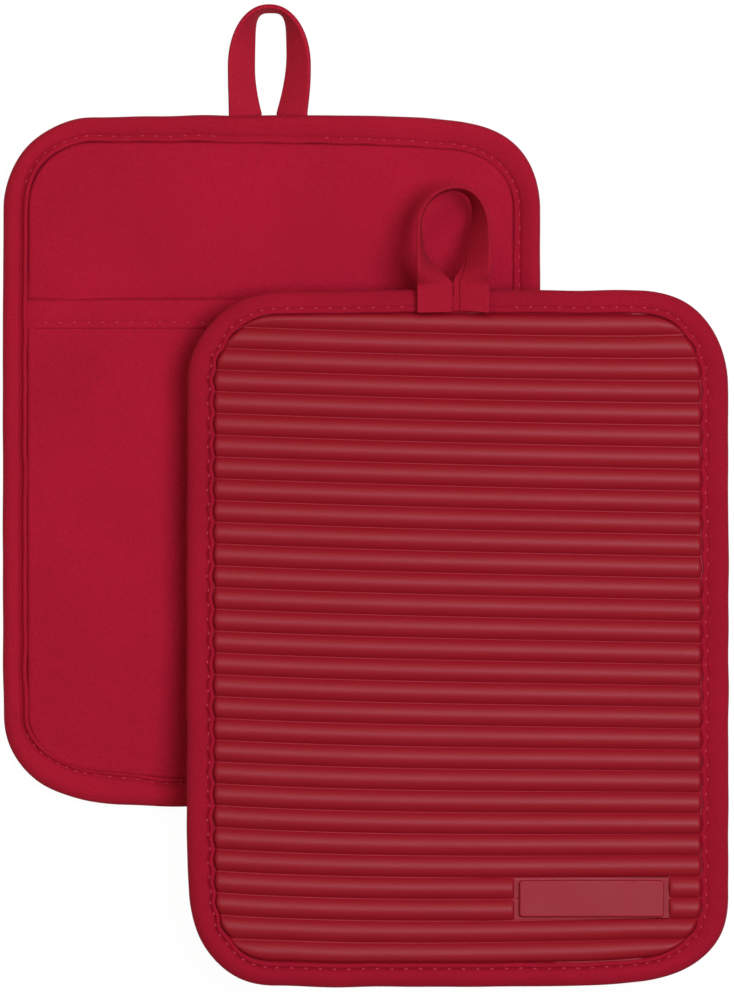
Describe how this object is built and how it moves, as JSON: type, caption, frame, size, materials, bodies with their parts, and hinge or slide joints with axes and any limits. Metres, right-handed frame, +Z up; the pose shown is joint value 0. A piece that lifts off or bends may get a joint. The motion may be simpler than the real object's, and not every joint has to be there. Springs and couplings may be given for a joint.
{
  "type": "pot holder pair",
  "caption": "Flat quilted pot holders with a ribbed silicone face, a cloth back with a hand pocket, a bound edge and a hanging loop, laid one across the other.",
  "frame": {"origin": "on the table under the middle of the whole pair, loops included", "axes": "+Z up, +Y along the holders towards their hanging loops, +X to the side the upper holder is shifted to"},
  "size_m": [0.239, 0.3226, 0.0412],
  "materials": {
    "silicone": "satin moulded silicone",
    "twill_cloth": "fine twill weave",
    "binding_tape": "folded twill tape",
    "lining_cloth": "plain thin cotton",
    "batting": "needled cotton wadding"
  },
  "bodies": {
    "lower_holder": {"lower_silicone_face": "silicone", "lower_lining": "lining_cloth", "lower_batting": "batting", "lower_back_panel": "twill_cloth", "lower_pocket_panel": "twill_cloth", "lower_pocket_hem": "twill_cloth", "lower_edge_binding": "binding_tape", "lower_loop_tabs": "binding_tape"},
    "lower_loop": {"lower_hanging_loop": "binding_tape"},
    "upper_holder": {"upper_silicone_face": "silicone", "upper_lining": "lining_cloth", "upper_batting": "batting", "upper_back_panel": "twill_cloth", "upper_pocket_panel": "twill_cloth", "upper_pocket_hem": "twill_cloth", "upper_edge_binding": "binding_tape", "upper_loop_tabs": "binding_tape"},
    "upper_loop": {"upper_hanging_loop": "binding_tape"}
  },
  "joints": [
    {"name": "lower_loop_bend", "type": "hinge", "parent": "lower_holder", "child": "lower_loop", "pos_m": [-0.0306, 0.1264, 0.00071], "axis": [1, 0, 0], "range_deg": [0, 90]},
    {"name": "upper_holder_lift", "type": "slide", "parent": "lower_holder", "child": "upper_holder", "axis": [0, 0, 1], "range_m": [0, 0.08]},
    {"name": "upper_loop_bend", "type": "hinge", "parent": "upper_holder", "child": "upper_loop", "pos_m": [0.0306, 0.06821, 0.02967], "axis": [1, 0, 0], "range_deg": [0, 110]}
  ]
}
